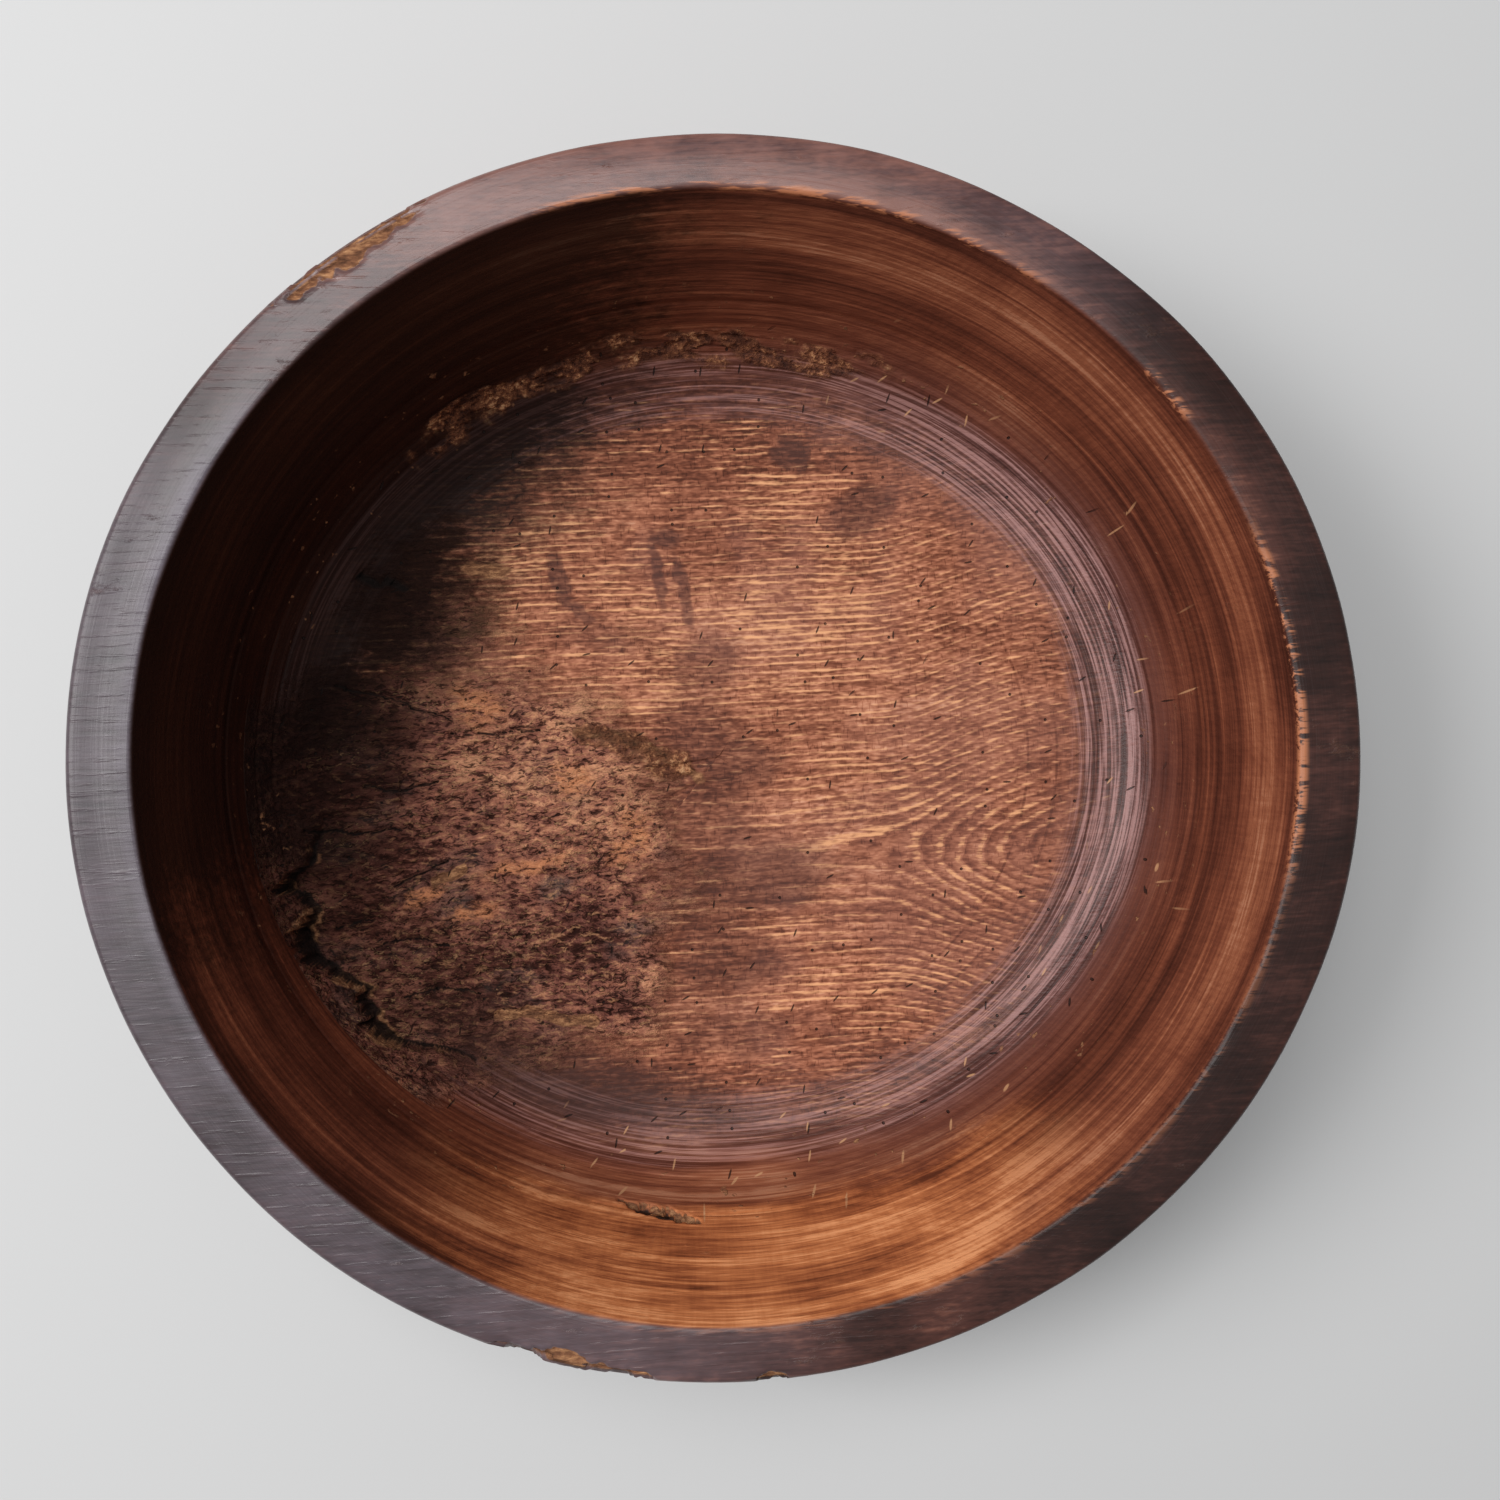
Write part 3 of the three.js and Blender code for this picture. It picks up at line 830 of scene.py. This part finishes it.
# Painted sheen: a violet-grey lightening on the rim facing the lamps at the left, towards the mouth there,
# and fainter at the far side
towards_mouth = along_from("rim", 11, 0)
painted_sheen_share = times(
    strongest(
        facing(208, 42, 34), times(facing(97, 30, 30), 0.55),
        times(facing(180, 30, 20), towards_mouth, 1.6),
    ),
    plus(0.42, swing(blotches, 0.8), swing(dashes, 0.5)), all_but(past_lip),
)
rim_painted_sheen = (0.165, 0.138, 0.168, 1)
rim_colour = blend(painted_sheen_share, rim_colour, rim_painted_sheen)
rubbed_edge = times(
    inner_edge,
    strongest(facing(3, 13, 8), facing(81, 21, 8), facing(38, 2, 2), times(facing(-60, 30, 30), 0.25)),
    share_between(plus(dashes, swing(blotches, 0.8)), 0.45, 0.60),
)
rubbed_orange = (0.58, 0.215, 0.100, 1)

# Bare base: dry grey-brown wood with the last lines of the turner's tool
base_tone = plus(
    0.45, times(early_wood, 0.2), times(late_wood, -0.3),
    swing(dashes, 0.8), swing(blotches, 0.9), swing(turned_lines, 0.5),
)
base_colour = graded(
    base_tone,
    (0.0, (0.060, 0.036, 0.028)), (0.5, (0.16, 0.092, 0.064)), (1.0, (0.34, 0.21, 0.14)),
)

# The corner between floor and wall: violet-brown lacquer in the grooves of the last cut
corner_band = times(
    along_from("corner", -6, 6, wandering_along),
    along_from("corner", 36, 24, wandering_along),
)
corner_tone = plus(
    0.45, swing(turned_lines, 3.6), swing(turned_streaks, 1.2), times(grooves, 0.06), swing(dashes, 0.5),
    swing(blotches, 0.5), times(on_right, 0.10),
)
corner_colour = graded(
    corner_tone,
    (0.1, (0.045, 0.017, 0.015)), (0.5, (0.15, 0.065, 0.058)), (0.9, (0.42, 0.230, 0.215)),
)

# The sound faces laid over one another, from the floor outwards
face_colour = blend(past_corner, floor_colour, wall_colour)
# The band is laid on stronger and lighter at the right, partly a painted highlight where the lamp glints
# on the corner
corner_strength = between(facing(5, 34, 30), 0.55, 0.85)
face_colour = blend(times(corner_band, corner_strength), face_colour, corner_colour)
face_colour = blend(past_mouth, face_colour, rim_colour)
face_colour = blend(times(rubbed_edge, 0.85), face_colour, rubbed_orange)
face_colour = blend(on_base, face_colour, base_colour)

# Rot: a brown crust wrinkled along the grain, orange where it has flaked off and grey where it is dead
in_crust = shaken(in_block, 130.0, (5 * MM, 3 * MM, 2 * MM))
crust_lumps = drawn_cloud(in_crust, (110, 290, 290), 5.0, 0.70)
crust_patches = drawn_cloud(in_block, (24, 44, 44), 4.0, 0.65)


def thin_lines(field, half_width):
    """Thin lines along the middle height of a field."""
    return share_between(reckon("ABSOLUTE", swing(field, 2.0)), half_width, 0.01)


# Painted shade: thin dark lines along the crust's low creases
painted_crease_shade = thin_lines(drawn_cloud(in_crust, (110, 310, 310), 1.0, 0.5, (3, 7, 1)), 0.09)
painted_crease_shade = times(painted_crease_shade, share_between(crust_lumps, 0.60, 0.44))
flaked = strongest(
    patch((-104, 26), (14, 8), -15), patch((-66, -8), (12, 8), 10), patch((-130, -54), (9, 4), 15),
    patch((-88, -44), (22, 4), 12), patch((-40, -34), (10, 14), -20), patch((-112, -66), (12, 4), 15),
    patch((-97, 86), (11, 4), -8),
)
# The crust is painted darker to the left, as painted shade from the left wall
crust_tone = plus(
    0.74, swing(crust_patches, 1.2), swing(crust_lumps, 1.7), times(flaked, 0.08), times(painted_crease_shade, -0.50),
    times(patch((-68, 2), (46, 34), 0, 0.9), 0.14),
    times(painted_shade_to_left, -0.38), times(plate_share, -0.10),
    times(patch((-66, -66), (58, 38), 10, 0.9), -0.16),
    times(patch((-100, -100), (62, 38), -15, 0.9), -0.20),
)
crust_colour = graded(
    crust_tone,
    (0.0, (0.020, 0.0055, 0.0035)), (0.3, (0.090, 0.028, 0.020)), (0.55, (0.22, 0.080, 0.057)),
    (0.8, (0.41, 0.162, 0.100)), (1.0, (0.68, 0.32, 0.18)),
)
dead_grey = (0.095, 0.078, 0.072, 1)
dead_share = share_between(drawn_cloud(in_block, (30, 46, 46), 3.0, 0.6, (9, 2, 4)), 0.50, 0.66)
dead_share = times(dead_share, between(patch((-68, -62), (56, 36), 10, 0.9), 0.20, 0.60))
crust_colour = blend(dead_share, crust_colour, dead_grey)
flake_edges = thin_lines(drawn_cloud(in_crust, (90, 260, 260), 2.0, 0.6, (5, 2, 8)), 0.05)
flake_edges = times(flake_edges, share_between(crust_patches, 0.44, 0.60))
flake_straw = (0.58, 0.33, 0.165, 1)
crust_colour = blend(times(flake_edges, 0.45), crust_colour, flake_straw)
bared_orange = (0.60, 0.235, 0.110, 1)
bared_share = times(flaked, share_between(crust_lumps, 0.36, 0.56), 0.9)
crust_colour = blend(bared_share, crust_colour, bared_orange)
# The low pits of the crust's fine relief are painted dark as shade, and its crests tan, partly a painted
# highlight, weaker to the left where the painted shade lies
crust_grain = drawn_cloud(in_crust, (190, 430, 430), 3.0, 0.65)
crust_pits = share_between(crust_grain, 0.46, 0.37)
crust_crests = share_between(crust_grain, 0.53, 0.68)
painted_pit_shade = (0.026, 0.0070, 0.0045, 1)
crest_tan_highlight = (0.80, 0.40, 0.20, 1)
crust_colour = blend(times(crust_pits, 0.85), crust_colour, painted_pit_shade)
crust_colour = blend(times(crust_crests, between(painted_shade_to_left, 0.42, 0.12)), crust_colour, crest_tan_highlight)
crust_reach = strongest(rotted_share, times(patch((-120, 62), (40, 46), -20, 0.9), 0.7))
crust_reach = plus(crust_reach, swing(crust_lumps, 0.6), swing(crust_patches, 0.8))
crust_share = share_between(crust_reach, 0.12, 0.80)
face_colour = blend(crust_share, face_colour, crust_colour)

# The floor is painted near-black at the upper left: partly old lacquer never scrubbed off, partly painted
# shade where the left wall's shadow falls
black_lacquer_and_shade_reach = plus(
    towards(145), swing(blotches, 75 * MM), swing(crust_lumps, 90 * MM), swing(bands, 30 * MM),
)
black_lacquer_and_shade_share = times(share_between(black_lacquer_and_shade_reach, 94 * MM, 154 * MM), all_but(past_mouth))
black_lacquer_and_shade = (0.0080, 0.0022, 0.0014, 1)
face_colour = blend(times(black_lacquer_and_shade_share, between(past_corner, 0.95, 0.86)), face_colour, black_lacquer_and_shade)

# Torn wood: pale splintered fibres, black where light doesn't reach in
torn_tone = plus(0.45, swing(drawn_cloud(in_block, (160, 480, 480), 4.0, 0.65), 1.8))
torn_colour = graded(
    torn_tone,
    (0.0, (0.045, 0.022, 0.015)), (0.4, (0.22, 0.095, 0.048)),
    (0.75, (0.52, 0.26, 0.125)), (1.0, (0.78, 0.48, 0.27)),
)

# Where the corner has crumbled at the far side, pale crumbs lie in a brown band, with painted shade making
# the low pits between them black
crumbs = cloud(in_block, 330.0, 3.0, 0.7)
crumb_clumps = cloud(in_block, 60.0, 2.0, 0.6)
crumbly_ridge = strongest(
    small_patch((-54, 12), (14, 6), -20), small_patch((-38, 6), (15, 8), -22),
    small_patch((-22, -2), (13, 9), -10), times(small_patch((-44, -12), (16, 6), 10), 0.5),
)
crumbled_share = strongest(measured("crumble"), times(crumbly_ridge, 0.65))
crumbled_share = share_between(plus(crumbled_share, swing(crumb_clumps, 0.9)), 0.25, 0.75)
crumbled_colour = graded(
    plus(crumbs, swing(crumb_clumps, 0.5), times(crumbly_ridge, 0.02)),
    (0.28, (0.014, 0.007, 0.006)), (0.42, (0.080, 0.028, 0.016)), (0.58, (0.22, 0.082, 0.040)),
    (0.65, (0.48, 0.215, 0.100)), (0.76, (0.74, 0.43, 0.23)),
)
flecks = times(
    share_between(cloud(in_block, 210.0, 2.0, 0.6), 0.66, 0.72),
    share_between(cloud(in_block, 32.0, 2.0, 0.5), 0.42, 0.58),
    along_from("corner", 16, 30, wandering_along),
    along_from("wall", 34, 8, wandering_along),
)
dirt_brown = (0.050, 0.021, 0.016, 1)
dirt_share = strongest(
    patch((-92, -134), (62, 26), -32, 0.8), times(patch((-40, -150), (60, 14), -12, 0.8), 0.8),
)
face_colour = blend(times(dirt_share, all_but(past_corner), 0.6), face_colour, dirt_brown)
torn_here = strongest(share_between(torn_share, 0.25, 0.7), flecks)
face_colour = blend(torn_here, face_colour, torn_colour)
face_colour = blend(times(crumbled_share, 0.85), face_colour, crumbled_colour)
# Painted shade: cracks, slots, crust crevices, the gouge's depth and the foot under the torn ledge are
# painted near-black
painted_hollow_shade = (0.014, 0.009, 0.008, 1)
face_colour = blend(times(share_between(crevice_share, 0.3, 0.9), 0.9), face_colour, painted_hollow_shade)


def marks(scale, kept, width, length):
    """Small marks, one in some cells of an uneven spread seen from above, each turned its own way."""
    cells = add_node("TexVoronoi", {"Vector": in_block, "Scale": scale}, voronoi_dimensions="2D")
    chances = add_node("SeparateColor", {0: cells.outputs["Color"]}).outputs
    middle = cells.outputs["Position"]
    offset = add_node("VectorMath", {0: in_block, 1: middle}, operation="SUBTRACT").outputs[0]
    turn = {"Vector": offset, "Angle": times(chances[1], 1.6)}
    turned = add_node("VectorRotate", turn, rotation_type="Z_AXIS").outputs[0]
    sized = stretched(turned, (1 / (width * MM), 1 / (length * MM), 0))
    reach = add_node("VectorMath", {0: sized}, operation="LENGTH").outputs["Value"]
    return times(share_between(reach, 1.1, 0.6), share_between(chances[0], kept - 0.02, kept + 0.02))


# Beetle holes and dents on the floor and the corner, painted dark as the shade inside them, and pale nicks
# on the wall
in_hollow_floor = along_from("wall", 2, -8)
beetle_holes = times(marks(75.0, 0.74, 0.65, 0.65), in_hollow_floor)
dents = times(marks(60.0, 0.62, 0.40, 2.0), in_hollow_floor)
face_colour = blend(times(strongest(beetle_holes, dents), 0.85), face_colour, painted_hollow_shade)
nick_clusters = times(facing(0, 60, 20), share_between(cloud(in_block, 20.0, 1.0, 0.5), 0.52, 0.60))
nicks = times(
    marks(85.0, 0.60, 0.45, 2.2), strongest(facing(-72, 34, 14), nick_clusters),
    share_between(up_the_wall, 0.04, 0.10), share_between(up_the_wall, 0.62, 0.45),
)
nick_tan = (0.62, 0.34, 0.175, 1)
face_colour = blend(times(nicks, 0.75), face_colour, nick_tan)

# Relief finer than the mesh, and gloss
sound_share = all_but(crust_share)
relief = plus(
    times(dashes, between(past_mouth, 0.30, 0.08), sound_share), times(turned_lines, 0.10, sound_share),
    times(grooves, 0.04, corner_band, all_but(black_lacquer_and_shade_share)), times(golden_dashes, 0.10, sound_share),
    times(crust_lumps, 1.8, crust_share), times(crust_grain, 2.6, crust_share),
    times(flake_edges, 0.5, crust_share), times(torn_tone, 0.6, torn_here),
    times(crumbs, 2.0, crumbled_share), times(beetle_holes, -0.9), times(dents, -0.5),
)
grain_bump = add_node("Bump", {"Height": relief, "Strength": 1.0, "Distance": 1 * MM}).outputs["Normal"]
bare = strongest(crust_share, torn_here, crumbled_share)
corner_gloss = times(
    along_from("corner", -30, 8, wandering_along),
    along_from("corner", 36, 16, wandering_along),
    facing(-15, 72, 36),
)
rim_gloss = times(past_mouth, between(facing(166, 80, 44), 0.35, 1.0))
towards_edge = share_between(
    along_cut, stretch_start["rim"] + 6 * MM, stretch_start["rim_edge"] - 4 * MM,
)
edge_dulled = strongest(facing(66, 24, 24), times(facing(166, 22, 16), 0.5))
rim_gloss = times(rim_gloss, between(times(towards_edge, edge_dulled), 1.0, 0.05))
lacquer = plus(rim_gloss, times(corner_gloss, 0.24), 0.03)
lacquer = times(lacquer, all_but(bare), all_but(on_base))
roughness = between(past_mouth, between(past_corner, 0.78, 0.60), 0.44)
roughness = plus(roughness, times(corner_gloss, -0.20), swing(dashes, 0.2), swing(blotches, 0.2))
roughness = between(bare, roughness, 0.9)
finish = add_node("BsdfPrincipled", {
    "Base Color": face_colour,
    "Roughness": roughness,
    "Specular IOR Level": 0.16,
    "Coat Weight": lacquer,
    "Coat Roughness": 0.35,
    "Normal": grain_bump,
    "Coat Normal": grain_bump,
})
output = add_node("OutputMaterial")
wood_nodes.links.new(finish.outputs["BSDF"], output.inputs["Surface"])
bowl_data.materials.append(wood)

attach(bowl, "root")
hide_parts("bowl")

# The stage: a pale matt floor, two soft lamps high up on the left and an even pale sky.
# The floor is only there to catch the bowl's shadow and is not part of the bowl.
floor_size = 6.0
floor_grey = (0.71, 0.71, 0.71, 1)
lamp_distance = 3.0
sky_white = (0.98, 0.99, 1.0, 1)
sky_strength = 0.23
floor_mesh = bmesh.new()
bmesh.ops.create_grid(floor_mesh, x_segments=1, y_segments=1, size=floor_size / 2)
floor_data = bpy.data.meshes.new("stage_floor")
floor_mesh.to_mesh(floor_data)
floor_mesh.free()
stage_floor = bpy.data.objects.new("stage_floor", floor_data)
bpy.context.scene.collection.objects.link(stage_floor)
pale = bpy.data.materials.new("pale_floor")
pale.use_nodes = True
pale_finish = pale.node_tree.nodes["Principled BSDF"]
pale_finish.inputs["Base Color"].default_value = floor_grey
pale_finish.inputs["Roughness"].default_value = 0.8
floor_data.materials.append(pale)


def hang_lamp(name, rise, bearing, size, energy):
    """A soft square lamp that shines on the bowl from a rise and a bearing in degrees."""
    lamp_data = bpy.data.lights.new(name, "AREA")
    lamp_data.size = size
    lamp_data.energy = energy
    lamp = bpy.data.objects.new(name, lamp_data)
    level = math.cos(math.radians(rise))
    direction = Vector((
        level * math.cos(math.radians(bearing)),
        level * math.sin(math.radians(bearing)),
        math.sin(math.radians(rise)),
    ))
    lamp.location = lamp_distance * direction
    lamp.rotation_euler = lamp.location.to_track_quat("Z", "Y").to_euler()
    bpy.context.scene.collection.objects.link(lamp)


hang_lamp("window_lamp", rise=48, bearing=168, size=1.2, energy=46)
hang_lamp("roof_lamp", rise=71, bearing=125, size=1.5, energy=36)

sky = bpy.data.worlds.new("pale_sky")
sky.use_nodes = True
sky_light = sky.node_tree.nodes["Background"]
sky_light.inputs["Color"].default_value = sky_white
sky_light.inputs["Strength"].default_value = sky_strength
bpy.context.scene.world = sky

# The camera looks nearly straight down into the bowl
camera_data = bpy.data.cameras.new("camera")
camera_data.sensor_width = 36
camera_data.lens = 36
camera = bpy.data.objects.new("camera", camera_data)
camera.location = (-22 * MM, -4 * MM, 683 * MM)
camera.rotation_euler = Euler((math.radians(0.69), math.radians(-3.1), math.radians(-2.55)))
bpy.context.scene.collection.objects.link(camera)
bpy.context.scene.camera = camera
bpy.context.scene.view_settings.view_transform = "Standard"
